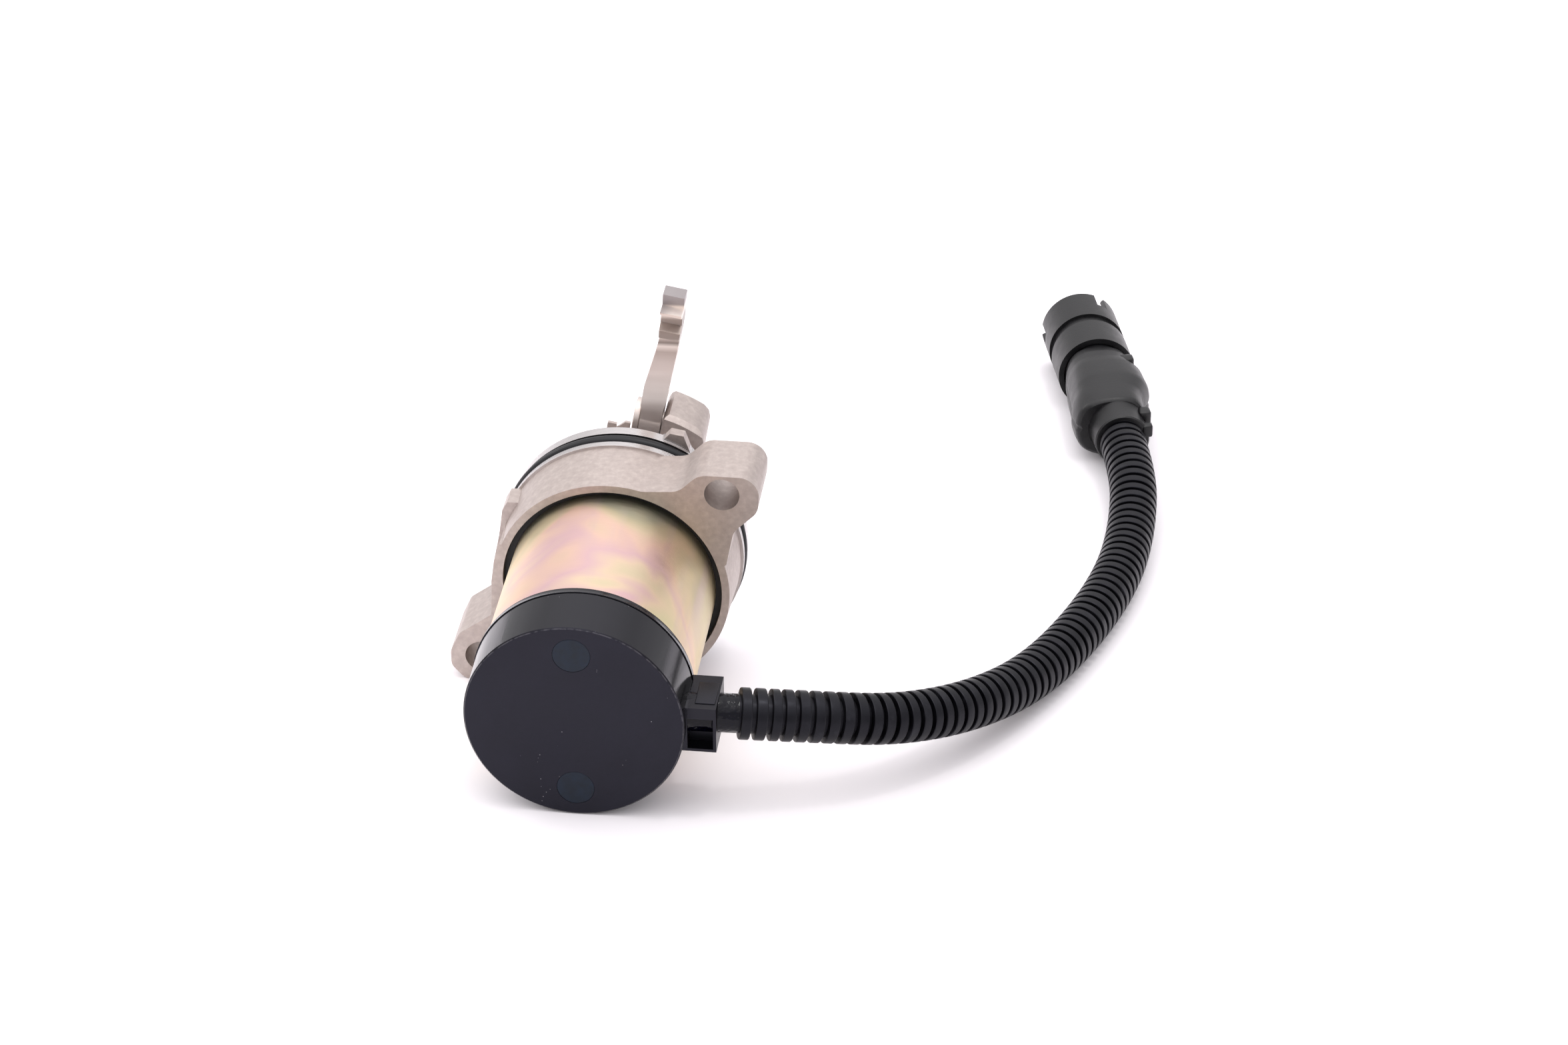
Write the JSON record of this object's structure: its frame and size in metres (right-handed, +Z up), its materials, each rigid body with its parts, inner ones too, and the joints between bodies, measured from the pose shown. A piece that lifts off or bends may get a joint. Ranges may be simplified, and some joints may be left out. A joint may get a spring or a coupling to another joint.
{
  "type": "fuel shutoff solenoid",
  "caption": "Round-can fuel shutoff solenoid with an eared cast flange, O-ring spigot, plunger-driven stop lever and a corrugated cable to a bayonet plug.",
  "frame": {"origin": "bottom centre of the solenoid's bounding box, without the cable and its plug, on the surface that it lies on", "axes": "+Z up from the surface; +Y along the solenoid from the end cap towards the spigot and lever; +X towards the cable outlet"},
  "size_m": [0.1782, 0.2731, 0.0971],
  "materials": {
    "black_moulding": "moulded black nylon, satin face and polished side",
    "potting_plug": "smooth dark resin",
    "passivated_steel": "yellow passivated zinc plate",
    "seal_rubber": "matte black rubber",
    "pole_steel": "bare mild steel",
    "natural_nylon": "natural moulded nylon",
    "copper_wire": "enamelled copper winding",
    "coil_tape": "polyester tape",
    "tinned_brass": "tinned brass",
    "ground_steel": "ground steel",
    "spring_steel": "drawn spring steel",
    "cast_aluminium": "sand-grey die casting with machined lands",
    "bush_bronze": "sintered bronze",
    "bright_steel": "bright zinc-plated steel",
    "wire_insulation": "black insulation",
    "shrink_tube": "glossy heat-shrunk tube",
    "loom_plastic": "corrugated nylon tube",
    "connector_plastic": "moulded black connector plastic"
  },
  "bodies": {
    "housing": {"end_cap": "black_moulding", "cap_plug_upper": "potting_plug", "cap_plug_lower": "potting_plug", "solenoid_can": "passivated_steel", "can_seal": "seal_rubber", "rear_pole_plate": "pole_steel", "fixed_core": "pole_steel", "guide_tube": "bush_bronze", "coil_bobbin": "natural_nylon", "coil_winding": "copper_wire", "coil_wrap": "coil_tape", "front_pole_plate": "pole_steel", "coil_terminal_left": "tinned_brass", "coil_terminal_right": "tinned_brass", "return_spring": "spring_steel", "buffer_ring": "seal_rubber", "flange_housing": "cast_aluminium", "spigot_oring": "seal_rubber", "guide_bush": "bush_bronze", "rod_seal": "seal_rubber", "pivot_pin": "bright_steel", "lead_wire_left": "wire_insulation", "lead_wire_right": "wire_insulation", "cable_sleeve": "shrink_tube", "corrugated_loom": "loom_plastic", "hood_upper": "connector_plastic", "hood_lower": "connector_plastic", "plug_body": "connector_plastic", "plug_insert": "connector_plastic", "plug_contact_left": "tinned_brass", "plug_contact_right": "tinned_brass", "face_seal": "seal_rubber"},
    "plunger": {"plunger": "ground_steel", "push_rod": "ground_steel", "rod_clevis": "bright_steel", "clevis_pin": "ground_steel"},
    "lever": {"stop_lever": "bright_steel"},
    "coupling_ring": {"coupling_ring": "connector_plastic"}
  },
  "joints": [
    {"name": "plunger_slide", "type": "slide", "parent": "housing", "child": "plunger", "axis": [0, 0.9984, 0.0559], "range_m": [-0.009, 0], "deforming": ["return_spring"]},
    {"name": "lever_pivot", "type": "hinge", "parent": "housing", "child": "lever", "pos_m": [0.00688, 0.04664, 0.05872], "axis": [0.9848, 0.0097, -0.1734], "range_deg": [-19.8, 0]},
    {"name": "coupling_ring_turn", "type": "hinge", "parent": "housing", "child": "coupling_ring", "pos_m": [0.11244, 0.1973, 0.0111], "axis": [-0.2334, 0.9724, 0], "range_deg": [0, 60]}
  ],
  "couplings": [
    {"joint": "lever_pivot", "follows": "plunger_slide", "rad_per_m": 38.315}
  ]
}
